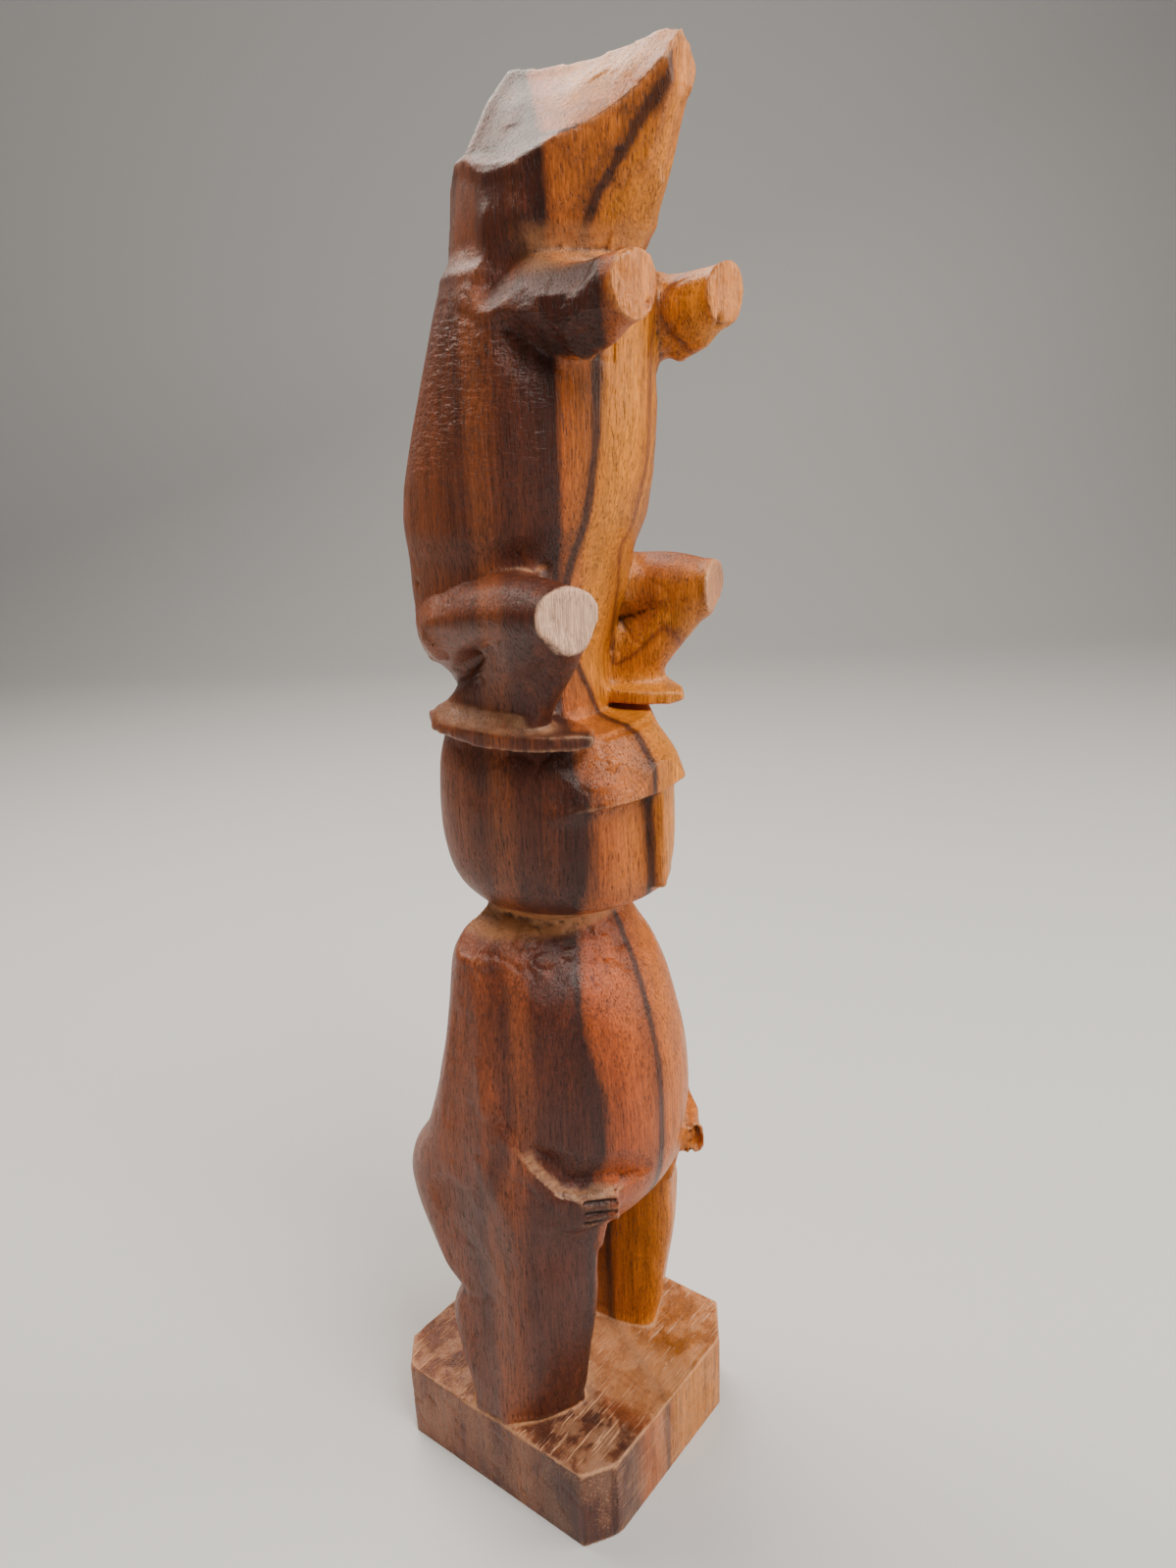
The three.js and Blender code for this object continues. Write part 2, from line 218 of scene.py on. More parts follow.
# Narrow knife cuts: [line, width, depth]
CUTS = [
    # three across the end of each hand
    *(([(19.8, -23.6, z + 0.6), (11.5, -30.6, z - 0.2)], 0.8, 1.0) for z in (83.9, 81.2, 78.6)),
    # the slit that runs on from each end of the brow
    ([(23.4, -11.0, 167.2), (22.0, -16.0, 168.2), (18.0, -23.2, 169.4)], 0.8, 0.8),
    # between foreleg and flank, and where the foreleg leaves the shoulder
    ([(16.6, -3.0, 260.0), (15.6, -6.0, 258.0), (13.0, -14.0, 254.6), (11.0, -22.0, 253.0)],
     1.2, 0.5),
    # crease over the bear's thigh, and behind the standing figure's knee
    ([(20.0, 10.0, 213.0), (18.6, -6.0, 216.0), (14.0, -17.0, 216.4)], 1.3, 0.6),
    ([(26.8, 9.0, 51.6), (28.2, 3.0, 52.0), (28.0, -2.0, 54.5)], 2.0, 0.35),
    # split in the lower corner of the foreleg's end
    ([(11.4, -38.8, 259.2), (12.2, -37.0, 256.2)], 0.8, 0.9),
]

# Broad flat cuts for the side at +X and mirrored: [near this point, facing, sink]
FLATS = [
    # foreleg: top, underside
    ((17.4, -15.0, 263.4), (0.78, 0.10, 0.62), 0.9),
    ((18.0, -25.0, 264.6), (0.76, -0.05, 0.65), 0.9),
    ((18.6, -19.0, 254.6), (0.80, 0.10, -0.60), 0.7),
    ((18.4, -31.0, 256.0), (0.72, -0.25, -0.65), 0.7),
    # standing figure: shoulder, hip
    ((21.0, 2.0, 141.0), (0.58, 0.10, 0.80), 0.9),
    ((29.4, 6.0, 78.0), (1.00, 0.05, 0.0), 0.4),
]

# Knocked corners and arrises: [at, facing, sink]
KNOCKS = [
    # top and bottom corners of the base
    ((-HALF_WIDTH, -27.4, BASE_TOP), (-0.8, -0.3, 0.7), 0.5),
    ((-23.5, -HALF_DEPTH, BASE_TOP), (-0.3, -0.8, 0.7), 0.6),
    ((20.5, -HALF_DEPTH, BASE_TOP), (0.1, -0.8, 0.7), 0.5),
    ((-HALF_WIDTH, 26.1, BASE_TOP), (-0.8, 0.4, 0.6), 0.7),
    ((-23.5, -HALF_DEPTH, 0.0), (-0.3, -0.8, -0.7), 0.5),
    # lower corner of a foreleg's end
    ((12.0, -38.0, 256.6), (-0.2, -0.7, -0.7), 0.7),
]


# ---- from the solid to the carved surface ------------------------------------------------


def solid_copy():
    """A merged copy of the pole's solid."""
    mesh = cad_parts["totem_carving"].data.copy()
    shape = bmesh.new()
    shape.from_mesh(mesh)
    bmesh.ops.remove_doubles(shape, verts=shape.verts, dist=1e-6)
    shape.to_mesh(mesh)
    mesh.materials.clear()
    return mesh, shape


def with_modifier(piece, kind, **settings):
    """The piece's mesh with one modifier applied."""
    modifier = piece.modifiers.new(kind.lower(), kind)
    for name, value in settings.items():
        setattr(modifier, name, value)
    done = piece.evaluated_get(bpy.context.evaluated_depsgraph_get())
    mesh = bpy.data.meshes.new_from_object(done)
    piece.modifiers.remove(modifier)
    old, piece.data = piece.data, mesh
    bpy.data.meshes.remove(old)
    return mesh


def crisp_angle(place):
    """Degrees past which an edge of the solid stays crisp, by where it is."""
    anywhere, figure_sides, forearm_ledge = 30, 44, 24
    if not (BASE_TOP + 2 < place.z < NECK + 4 and abs(place.x) > 12):
        return anywhere
    mirrored = np.array([[abs(place.x), place.y, place.z]])
    on_ledge = path_distance(mirrored, FOREARM_LEDGE)[0] < 4.5
    return forearm_ledge if on_ledge else figure_sides


def crisp_lines(shape):
    """Points along the cuts and arrises of the solid that stay crisp."""
    step = 0.6
    places = []
    for edge in shape.edges:
        a, b = (vertex.co / MM for vertex in edge.verts)
        if math.degrees(edge.calc_face_angle(0.0)) < crisp_angle((a + b) / 2):
            continue
        count = max(1, math.ceil((b - a).length / step))
        places += [a.lerp(b, i / count) for i in range(count + 1)]
    tree = kdtree.KDTree(len(places))
    for i, place in enumerate(places):
        tree.insert(place, i)
    tree.balance()
    return tree


def nearness(points, path, width):
    """1 on a line and its mirror, falling straight to 0 at the width."""
    folded = points.copy()
    folded[:, 0] = np.abs(points[:, 0])
    path = np.asarray(path, dtype=float)
    low, high = path.min(axis=0) - width, path.max(axis=0) + width
    close = np.all((folded > low) & (folded < high), axis=1)
    share = np.zeros(len(points))
    share[close] = np.clip(1.0 - path_distance(folded[close], path) / width, 0.0, 1.0)
    return share


def softened(points, edges, tree):
    """The solid's facets evened out, and each point's distance from a crisp line."""
    gap = np.array([tree.find(place)[2] for place in points])
    rounds = round(17.5 / VOXEL**2)  # reaches as far at any voxel size
    points = relax(points, edges, ease(gap, 0.3, 2.4), rounds)
    points = relax(points, edges, ease(gap, -0.2, 0.8), 2)
    back_of_neck = ease(points[:, 1], -14.0, -8.0) * fade(abs(points[:, 2] - THROAT), 2.5, 4.5)
    rounded = [nearness(points, path, size) for path, size in ROUNDED]
    rounded = np.maximum.reduce([*rounded, back_of_neck])
    return relax(points, edges, rounded, rounds // 3), gap


# ---- knife, gouge and saw ----------------------------------------------------------------


def shave(points, normals, at, facing, sink):
    """One shallow cut, sink deep at a point of the surface, facing outwards there."""
    reach = math.sqrt(2 * GOUGE_SWEEP * sink) + 0.5
    near = np.flatnonzero(np.abs(points - at).max(axis=1) < reach)
    offset = points[near] - at
    curve = np.einsum("ij,ij->i", offset, offset) / (2 * GOUGE_SWEEP)
    past = np.maximum(offset @ facing + sink - curve, 0.0)
    past *= 1.0 - ease(past, 1.5 * sink, 2.5 * sink)  # what stands far past it is another form
    past *= ease(normals[near] @ facing, 0.55, 0.85)
    points[near] -= np.outer(past, facing)


def knife_facets(points, normals, random, count, where, depth):
    """Many shallow cuts over the part of the surface that where names."""
    choice = np.flatnonzero(where)
    for index in random.choice(choice, count):
        facing = normals[index] + random.normal(0.0, 0.05, 3)
        facing /= np.linalg.norm(facing)
        shave(points, normals, points[index].copy(), facing, random.uniform(*depth))


def scratches(points, normals, random, count, where, way, length, depth):
    """Fine tool marks, mostly one way, over the part of the surface that where names."""
    choice = np.flatnonzero(where)
    for index in random.choice(choice, count):
        half = (np.array(way) + random.normal(0.0, 0.25, 3)) * random.uniform(*length) / 2
        at = points[index]
        near = np.flatnonzero(np.abs(points - at).max(axis=1) < length[1] / 2 + 1.5)
        share = 1.0 - (path_distance(points[near], [at - half, at + half]) / 0.7) ** 2
        points[near] -= normals[near] * (depth * np.clip(share, 0.0, 1.0))[:, None]


def chatter(points, normals, where, pitch, depth, lean=0.0, salt=3):
    """Short ripples left by a gouge, broken up along their length."""
    x, y, z = points.T
    shift = 2.2 * noise(points, 6.0, salt) + lean * x
    wave = np.sin(2 * math.pi * (z + shift) / pitch)
    broken = 0.5 + 0.5 * noise(points, (3.0, 3.0, 1.2), salt + 1)
    points -= normals * (where * depth * broken * (0.5 + 0.5 * wave))[:, None]


def throat_area(points):
    """Around the bear's throat, where the gouge marks were left."""
    x, y, z = points.T
    ring = np.hypot(x / 15.0, (y + 16.0) / 16.0)
    return fade(abs(z - THROAT), 2.0, 5.0) * fade(y, -20.0, -12.0) * fade(ring, 1.0, 1.5)


def neck_area(points):
    """The ring round the standing figure's neck."""
    return fade(abs(points[:, 2] - NECK), 2.0, 4.0)


def fork_area(points):
    """Between the standing figure's legs."""
    x, y, z = points.T
    return fade(abs(x), 8.0, 11.0) * ease(z, 19.0, 22.0) * fade(z, 30.0, 40.0)


def knee_end_area(points):
    """The sawn ends of the bear's knees."""
    x, y, z = points.T
    across = np.hypot((abs(x) - 24.4) / 7.6, (z - 209.6) / 5.6)
    forward = -y + 0.287 * (abs(x) - 24.3)
    return fade(across, 1.05, 1.2) * ease(forward, 28.4, 28.9)


def foot_area(points, side):
    """The bear's feet and the foot of each shin. side is the distance from the middle plane."""
    z = points[:, 2]
    return ease(z, 186.0, 187.5) * fade(z, 198.0, 206.0) * ease(side, 7.0, 10.0)


def above_foot(points):
    """Height over the top of the bear's foot on that side."""
    return points[:, 2] - FOOT_TOP - np.where(points[:, 0] > 0, LEFT_FOOT_RISE, 0.0)


def uneven_hand(points, normals, gap):
    """The surface wanders a little between its crisp lines."""
    sway = 0.22 * noise(points, (14.0, 14.0, 22.0), 5) + 0.10 * noise(points, (6.0, 6.0, 9.0), 6)
    free = ease(gap, 0.5, 3.0) * ease(points[:, 2], BASE_TOP - 1.0, BASE_TOP + 3.0)
    points -= normals * (free * (sway + 0.2))[:, None]


def leaf_feet(points, normals):
    """Each shin is cut in above its foot, which leaves a bevelled, nicked top on the foot."""
    x, y, z = points.T
    shin_middle = 17.6
    above = above_foot(points)
    cut = np.clip(above / 3.6, 0.0, 1.0) * fade(above, 6.0, 20.0) * (above > 0)
    spread = abs(x) - shin_middle
    cut *= ease(spread, 0.0, 2.0) * ease(z, 180.0, 186.0)
    points[:, 0] = np.sign(x) * (shin_middle + spread * (1.0 - 0.42 * cut))
    nick = np.clip(noise(points, (2.6, 2.6, 40.0), 21), 0.0, 1.0)
    points -= normals * (0.22 * nearness(points, FOOT_RIM, 2.2) * nick)[:, None]


def past_foreleg_end(points):
    """How far each point stands out past the sawn end of its foreleg."""
    middle = np.tile((0.0, -38.0, 262.0), (len(points), 1))
    middle[:, 0] = FORELEG_MIDDLE * np.sign(points[:, 0])
    return (points - middle) @ SAWN_FACING


def foreleg_ends(points):
    """Each foreleg widens to its end, and the end is sawn off flat."""
    x, y, z = points.T
    widened = 1.0 + 0.34 * fade(y, -34.0, -24.0) * ease(z, 248.0, 252.0) * fade(z, 269.0, 272.0)
    foreleg = (z > 248.0) & (z < 272.0) & (y < -24.0) & (abs(x) > 5.5)
    wide = np.sign(x) * (FORELEG_MIDDLE + (abs(x) - FORELEG_MIDDLE) * widened)
    points[:, 0] = np.where(foreleg, wide, x)
    past = np.where(foreleg, np.maximum(past_foreleg_end(points), 0.0), 0.0)
    points -= np.outer(past, SAWN_FACING)


def leg_swell(points, normals):
    """The round front of each of the standing figure's shins."""
    front = [(24.4, -12.4, 21.0), (24.0, -14.6, 40.0), (23.4, -16.4, 62.0)]
    share = ease(nearness(points, front, 9.0), 0.0, 1.0)
    upright = ease(1.0 - np.abs(normals[:, 2]), 0.3, 0.7) * ease(points[:, 2], 21.3, 22.5)
    points += normals * (1.4 * share * upright)[:, None]


def above_forearm(points, normals):
    """Distance from the forearm's upper edge, positive on the belly's side of it."""
    folded = points.copy()
    folded[:, 0] = np.abs(points[:, 0])
    facing = normals.copy()
    facing[:, 0] *= np.sign(points[:, 0])
    path = np.asarray(FOREARM_LEDGE, dtype=float)
    nearest = np.full(len(points), np.inf)
    above = np.zeros(len(points))
    for start, end in zip(path[:-1], path[1:]):
        along = end - start
        share = np.clip((folded - start) @ along / (along @ along), 0.0, 1.0)
        offset = folded - start - share[:, None] * along
        distance = np.linalg.norm(offset, axis=1)
        way = np.cross(along / np.linalg.norm(along), facing)
        closer = distance < nearest
        above = np.where(closer, np.sign(np.einsum("ij,ij->i", offset, way)) * distance, above)
        nearest = np.minimum(nearest, distance)
    return above


def forearm_step(points, normals):
    """The belly is cut back above each forearm, under a bevel."""
    width, depth = 10.0, 3.4
    above = above_forearm(points, normals)
    cut = np.clip(above / LEDGE_BEVEL, 0.0, 1.0)
    cut *= np.clip(1.0 - above / width, 0.0, 1.0) * fade(points[:, 2], 94.0, 100.0)
    cut *= ease(abs(normals[:, 0]) - normals[:, 1], 0.3, 0.9)
    points -= normals * (depth * cut)[:, None]


def ridges(points, normals):
    """The raised edges left between two cuts."""
    for path, width, height in RIDGES:
        points += normals * (height * nearness(points, path, width))[:, None]


def narrow_cuts(points, normals):
    """Cuts made with the tip of the knife."""
    for path, width, depth in CUTS:
        share = 1.0 - (1.0 - nearness(points, path, width)) ** 2
        points -= normals * (depth * share**1.5)[:, None]


def flat_cuts(points, normals):
    """Broad cuts, each flat over a few millimetres and fading out round them."""
    extent, deepest = 8.0, 2.6
    for place, facing, sink in FLATS:
        for hand in (-1.0, 1.0):
            mirror = np.array([hand, 1.0, 1.0])
            at = points[np.argmin(((points - place * mirror) ** 2).sum(axis=1))].copy()
            way = facing * mirror / np.linalg.norm(facing)
            offset = points - at
            distance = np.linalg.norm(offset, axis=1)
            past = np.clip(offset @ way + sink, 0.0, deepest)
            past *= fade(distance, 0.6 * extent, extent) * ease(normals @ way, 0.3, 0.7)
            points -= np.outer(past, way)


def tool_scratches(points, normals, random):
    """Scratches over the base and on the lower head's cheeks."""
    x, y, z = points.T
    top = (z > BASE_TOP - 0.6) & (z < BASE_TOP + 0.4) & (normals[:, 2] > 0.8)
    scratches(points, normals, random, 90, top, (0.8, 0.6, 0.0), (3.0, 9.0), 0.12)
    scratches(points, normals, random, 50, top, (0.9, -0.4, 0.0), (2.0, 6.0), 0.12)
    faces = (z < BASE_TOP - 1.0) & (z > 1.0)
    scratches(points, normals, random, 60, faces, (0.0, 0.0, 1.0), (3.0, 9.0), 0.1)
    right = faces & (x < -29)
    scratches(points, normals, random, 40, right, (0.0, 0.8, 0.5), (2.0, 6.0), 0.14)
    cheeks = (z > 153) & (z < 166) & (y < -18)
    scratches(points, normals, random, 26, cheeks, (0.6, -0.2, 0.5), (1.5, 4.0), 0.12)


def chips(points, normals, random):
    """Knocked corners, and small chips all along the base's upper arris."""
    for at, facing, sink in KNOCKS:
        facing = np.array(facing) / np.linalg.norm(facing)
        shave(points, normals, np.array(at), facing, sink)
    for _ in range(60):
        side = random.choice([-1.0, 1.0])
        along = random.uniform(-0.75, 0.75)
        if random.random() < 0.5:
            at, out = (HALF_WIDTH * along, HALF_DEPTH * side), (0.0, side)
        else:
            at, out = (HALF_WIDTH * side, HALF_DEPTH * along), (side, 0.0)
        facing = np.array([*out, 0.75]) + random.normal(0.0, 0.06, 3)
        facing /= np.linalg.norm(facing)
        shave(points, normals, np.array([*at, BASE_TOP]), facing, random.uniform(0.1, 0.3))


def knife_work(points, normals, side):
    """What the knife went over: [part of the surface, cuts, least and most depth]."""
    y, z = points[:, 1], points[:, 2]
    return [
        # bear: roof of the head, forelegs, thighs and shins, flanks
        ((z > 272) & (normals[:, 2] > -0.5), 60, (0.05, 0.14)),
        ((z > 252) & (z < 268) & (y < -8) & (side > 8), 40, (0.05, 0.14)),
        ((z > 193) & (z < 217) & (side > 11), 70, (0.05, 0.14)),
        ((z > 217) & (z < 262) & (side > 6), 90, (0.04, 0.1)),
        # standing figure: brow, shoulders, arms and hips, legs
        ((z > 172) & (z < 184) & (y < 4), 40, (0.08, 0.2)),
        ((z > 132) & (z < 143), 90, (0.06, 0.2)),
        ((z > 56) & (z < 130) & (side > 22), 90, (0.05, 0.14)),
        ((z > 23) & (z < 66), 120, (0.05, 0.14)),
    ]


def carve(mesh, points, edges, gap):
    """All the hand work, in the order a carver leaves it."""
    random = np.random.default_rng(SEED)
    side = np.abs(points[:, 0])

    # the limbs and the larger cuts
    normals = normals_of(mesh, points)
    uneven_hand(points, normals, gap)
    foreleg_ends(points)
    leaf_feet(points, normals)
    points[:] = relax(points, edges, 0.8 * foot_area(points, side), 6)
    normals = normals_of(mesh, points)
    leg_swell(points, normals)
    forearm_step(points, normals)
    ridges(points, normals)
    flat_cuts(points, normals_of(mesh, points))

    # the knife, all over but for the crisp lines
    normals = normals_of(mesh, points)
    for where, count, depth in knife_work(points, normals, side):
        knife_facets(points, normals, random, count, where & (gap > 0.8), depth)

    # narrow cuts, gouge marks, scratches and knocks
    normals = normals_of(mesh, points)
    narrow_cuts(points, normals)
    chatter(points, normals, throat_area(points), 1.4, 0.16)
    chatter(points, normals, neck_area(points), 1.6, 0.22, lean=0.6, salt=8)
    chatter(points, normals, fork_area(points), 1.9, 0.35, lean=-0.8, salt=12)
    tool_scratches(points, normals, random)
    chips(points, normals, random)
    return relax(points, edges, np.full(len(points), 0.3), 1)


# ---- growth layers, rubbed arrises, painted highlights and painted shade -----------------


VEIN_LAYER = 7.0  # the vein's place on the layer scale


def slope_on_surface(slope, normals):
    """How fast a value changes along the surface, from its slope in the wood."""
    into = np.einsum("ij,ij->i", slope, normals)
    return np.linalg.norm(slope - into[:, None] * normals, axis=1)


def heartwood_edge(points):
    """x where the dark heartwood ends and the orange wood starts."""
    y, z = points[:, 1], points[:, 2]
    foreleg_end = ease(z, 250.0, 256.0) * fade(z, 268.0, 272.0) * fade(y, -38.0, -30.0)
    return -15.0 + np.maximum(0.0, y + 22.0) - 7.0 * foreleg_end


def vein_place(points):
    """x of the thin dark vein in the orange wood, and the slope of its distance."""
    y, z = points[:, 1], points[:, 2]
    bear = ease(z, 175.0, 215.0)
    forward = -(y + 27.0)
    forward = (forward + np.hypot(forward, 4.0)) / 2
    on_bear = -9.6 + 0.55 * forward
    on_figure = -1.5 + 0.5 * (y + 29.0)
    slope = np.zeros_like(points)
    slope[:, 0] = 1.0
    slope[:, 1] = bear * np.where(y < -27.0, 0.45, 0.1) - (1.0 - bear) * 0.5
    return bear * on_bear + (1.0 - bear) * on_figure, slope


def growth_layers(points, normals):
    """Each point's place on the layer scale, and how far along the surface the vein is."""
    x, y, z = points.T
    edge = heartwood_edge(points)
    vein, slope = vein_place(points)
    band = np.maximum(vein - edge, 5.0)
    dark_spread = 0.78 - 0.25 * fade(z, 75.0, 110.0)
    layer = np.where(x > edge, VEIN_LAYER * (x - edge) / band, dark_spread * (x - edge))
    off_vein = (x - vein) / np.maximum(slope_on_surface(slope, normals), 0.25)
    # painted highlight: the vein is left off the upward-facing roof, where glare would hide it
    off_vein += 6.0 * ease(normals[:, 2], 0.2, 0.5) * ease(z, 283.0, 286.0)  # not on the roof
    return layer, np.clip(off_vein, -20.0, 20.0)


def surface_bend(points, normals, edges):
    """How sharply the surface bends: above 0 along an arris, below 0 in a hollow."""
    count = len(points)
    length = np.linalg.norm(points[edges[:, 0]] - points[edges[:, 1]], axis=1)
    degree = np.bincount(edges.ravel(), minlength=count)
    reach = np.bincount(edges.ravel(), np.repeat(length, 2), count) / np.maximum(degree, 1)
    lift = np.einsum("ij,ij->i", points - neighbour_mean(points, edges), normals)
    bend = lift / np.maximum(reach, 0.05) ** 2
    for _ in range(2):
        bend = 0.5 * bend + 0.5 * neighbour_mean(bend, edges)
    return bend


def bare_places(points):
    """Hollows that were gouged last: over the thighs, round the shins and along the base."""
    x, y, z = points.T
    return np.maximum.reduce([
        fade(abs(z - 214.0), 3.0, 5.0) * fade(abs(x), 16.0, 22.0),
        fade(abs(z - 190.0), 5.0, 7.0) * fade(abs(x), 13.0, 17.0),
        fade(abs(z - BASE_TOP - 1.0), 2.0, 3.0),
    ])


def painted_bevel_highlights(points, normals):
    """Painted highlights on the bevels over the forearms and round the tops of the bear's feet.
    """
    x, y, z = points.T
    above = above_forearm(points, normals)
    forearm = ease(above, 0.2, 0.8) * fade(above, LEDGE_BEVEL - 0.8, LEDGE_BEVEL)
    forearm *= fade(z, 94.0, 98.0) * ease(z, 80.0, 84.0) * fade(y, -13.0, -10.0)
    above = above_foot(points)
    foot = ease(above, -0.4, 0.3) * fade(above, 3.0, 4.2) * ease(normals[:, 2], 0.1, 0.4)
    foot *= ease(abs(x), 12.0, 18.0) * fade(y, 6.0, 12.0)
    return np.maximum(forearm, 0.9 * foot)


def surface_values(mesh):
    """Per-point values that the wood material reads."""
    points, normals, edges = as_arrays(mesh)
    x, y, z = points.T
    upward = normals[:, 2]
    layer, off_vein = growth_layers(points, normals)
    bend = surface_bend(points, normals, edges)
    hollow = ease(-bend, 0.06, 0.35)
    bare = bare_places(points)
    block = fade(z, BASE_TOP + 0.3, BASE_TOP + 0.7)
    pale_edges = np.clip(ease(bend, 0.08, 0.45) * (1.0 + 1.4 * block), 0.0, 1.7)
    arris = block * ease(upward, 0.15, 0.4) * fade(upward, 0.85, 0.95)
    gouged = [0.7 * throat_area(points), neck_area(points), fork_area(points), hollow * bare]
    figure = ease(z, 15.0, 30.0) * fade(z, 138.0, 158.0)
    values = {
        "layer": layer,
        "vein": off_vein,
        # rubbed pale edges and base arris, plus painted highlights on the forearm and foot
        # bevels
        "wear_and_highlight": np.maximum.reduce([pale_edges, 1.7 * arris, 1.3 * painted_bevel_highlights(points, normals)]),
        "crease_shade": hollow * (1.0 - bare),
        # painted shade: hollows are darkened where shade falls, except where the wood is bare
        "raw": np.maximum.reduce(gouged),
        # pale sawn knee ends, full strength on the near knee as a painted highlight
        "knee_end_and_highlight": knee_end_area(points) * np.where(x > 0, 0.4, 1.0),
        "foreleg_end": ease(past_foreleg_end(points), -0.7, -0.3) * (y < -34.0) * (z > 250.0),
        "ruddy": (0.55 + 0.45 * ease(z, 66.0, 90.0)) * figure,
        "rippled": ease(z, 224.0, 236.0) * fade(z, 256.0, 262.0) * ease(abs(x), 13.0, 18.0),
        "block": block,
        "block_top": block * ease(upward, 0.5, 0.9),
    }
    for name, column in values.items():
        attribute = mesh.attributes.new(name, "FLOAT", "POINT")
        attribute.data.foreach_set("value", column.astype(np.float32))


def totem_carving():
    """The pole's solid, evened out, carved and made light enough to keep."""
    mesh, shape = solid_copy()
    piece = bpy.data.objects.new("carved_pole", mesh)
    bpy.context.scene.collection.objects.link(piece)
    tree = crisp_lines(shape)
    shape.free()
    mesh = with_modifier(piece, "REMESH", mode="VOXEL", voxel_size=VOXEL * MM)
    points, _, edges = as_arrays(mesh)
    points, gap = softened(points, edges, tree)
    points = carve(mesh, points, edges, gap)
    low, high = (np.array(corner) / MM for corner in cad_box)
    put_points(mesh, np.clip(points, low, high))
    faces = sum(len(face.vertices) - 2 for face in mesh.polygons)
    with_modifier(piece, "TRIANGULATE")
    mesh = with_modifier(piece, "DECIMATE", ratio=TRIANGLES / faces)
    mesh.name = "carved_pole"
    points, _, _ = as_arrays(mesh)
    put_points(mesh, np.clip(points, low, high))
    mesh.shade_smooth()
    surface_values(mesh)
    return piece


# ---- finish ------------------------------------------------------------------------------


class Nodes:
    """Short hand for building a material's nodes."""

    def __init__(self, name):
        self.material = bpy.data.materials.new(name)
        self.material.use_nodes = True
        self.tree = self.material.node_tree
        self.tree.nodes.clear()

    def add(self, kind, inputs=None, **settings):
        node = self.tree.nodes.new("ShaderNode" + kind)
        for name, value in settings.items():
            setattr(node, name, value)
        for name, value in (inputs or {}).items():
            socket = node.inputs[name]
            if isinstance(value, bpy.types.NodeSocket):
                self.tree.links.new(value, socket)
            else:
                socket.default_value = value
        return node

    def math(self, operation, a, b=0.0, clamp=False):
        node = self.add("Math", {0: a, 1: b}, operation=operation, use_clamp=clamp)
        return node.outputs[0]

    def mix(self, share, a, b, blend="MIX"):
        node = self.add(
            "Mix", {0: share, 6: a, 7: b}, data_type="RGBA", blend_type=blend, clamp_factor=True
        )
        return node.outputs[2]

    def ramp(self, value, stops):
        node = self.add("ValToRGB", {"Fac": value})
        elements = node.color_ramp.elements
        while len(elements) < len(stops):
            elements.new(0.5)
        for element, (position, colour) in zip(elements, stops):
            element.position = position
            element.color = (*colour, 1.0)
        return node.outputs[0]

    def remap(self, value, low, high, to_low=0.0, to_high=1.0):
        limits = {"From Min": low, "From Max": high, "To Min": to_low, "To Max": to_high}
        return self.add("MapRange", {"Value": value, **limits}, clamp=True).outputs["Result"]

    def noise(self, vector, scale, detail=3.0, roughness=0.55):
        grain = {"Scale": scale, "Detail": detail, "Roughness": roughness}
        return self.add("TexNoise", {"Vector": vector, **grain}).outputs["Fac"]

    def attribute(self, name):
        return self.add("Attribute", attribute_name=name).outputs["Fac"]

    def plus(self, total, *terms):
        for term in terms:
            total = self.math("ADD", total, term)
        return total

    def times(self, a, b, clamp=False):
        return self.math("MULTIPLY", a, b, clamp)

    def tint(self, colour, tone):
        """The colour made lighter or darker by a tone round 1."""
        grey = self.add("CombineColor", {0: tone, 1: tone, 2: tone}).outputs[0]
        return self.mix(1.0, colour, grey, "MULTIPLY")


class WoodNodes(Nodes):
    """Nodes on the pole's own millimetres, which grain stretches along."""

    def __init__(self, name):
        super().__init__(name)
        place = self.add("TexCoord").outputs["Object"]
        self.mm = self.add("VectorMath", {0: place, 3: 1 / MM}, operation="SCALE").outputs[0]

    def stretched(self, across, along):
        scale = (across, across, along)
        return self.add("Mapping", {"Vector": self.mm, "Scale": scale}).outputs[0]

    def swing(self, value, size):
        """Noise from 0 to 1 made to swing either side of 0."""
        return self.times(self.math("SUBTRACT", value, 0.5), size)


# Colours of the growth layers across the pole, from its right to its left. The layer scale is
# in mm, with 0 where the dark heartwood meets the orange wood: [place on the scale, colour]
LAYERS = [
    (-40.0, (0.190, 0.048, 0.018)),
    (-30.0, (0.270, 0.072, 0.022)),
    (-24.0, (0.220, 0.056, 0.019)),
    (-18.5, (0.120, 0.032, 0.015)),
    (-16.0, (0.240, 0.064, 0.020)),
    (-13.5, (0.210, 0.054, 0.018)),
    (-11.5, (0.100, 0.026, 0.013)),
    (-4.0, (0.075, 0.019, 0.010)),
    (-0.8, (0.044, 0.013, 0.008)),
    (0.6, (0.340, 0.080, 0.014)),
    (3.5, (0.460, 0.120, 0.016)),
    (VEIN_LAYER, (0.480, 0.130, 0.014)),
    (9.0, (0.540, 0.165, 0.009)),
    (15.0, (0.600, 0.195, 0.009)),
    (22.0, (0.520, 0.155, 0.009)),
    (24.0, (0.230, 0.062, 0.012)),
    (26.0, (0.500, 0.160, 0.014)),
    (36.0, (0.400, 0.110, 0.013)),
    (44.0, (0.260, 0.066, 0.012)),
]
LAYER_LOW, LAYER_HIGH = LAYERS[0][0], LAYERS[-1][0]

VEIN = (0.040, 0.011, 0.006, 1.0)
STREAK = (0.340, 0.075, 0.014, 1.0)
PORE = (0.020, 0.006, 0.004, 1.0)
BARE = (0.560, 0.235, 0.085, 1.0)
FORELEG_END = (0.600, 0.190, 0.030, 1.0)
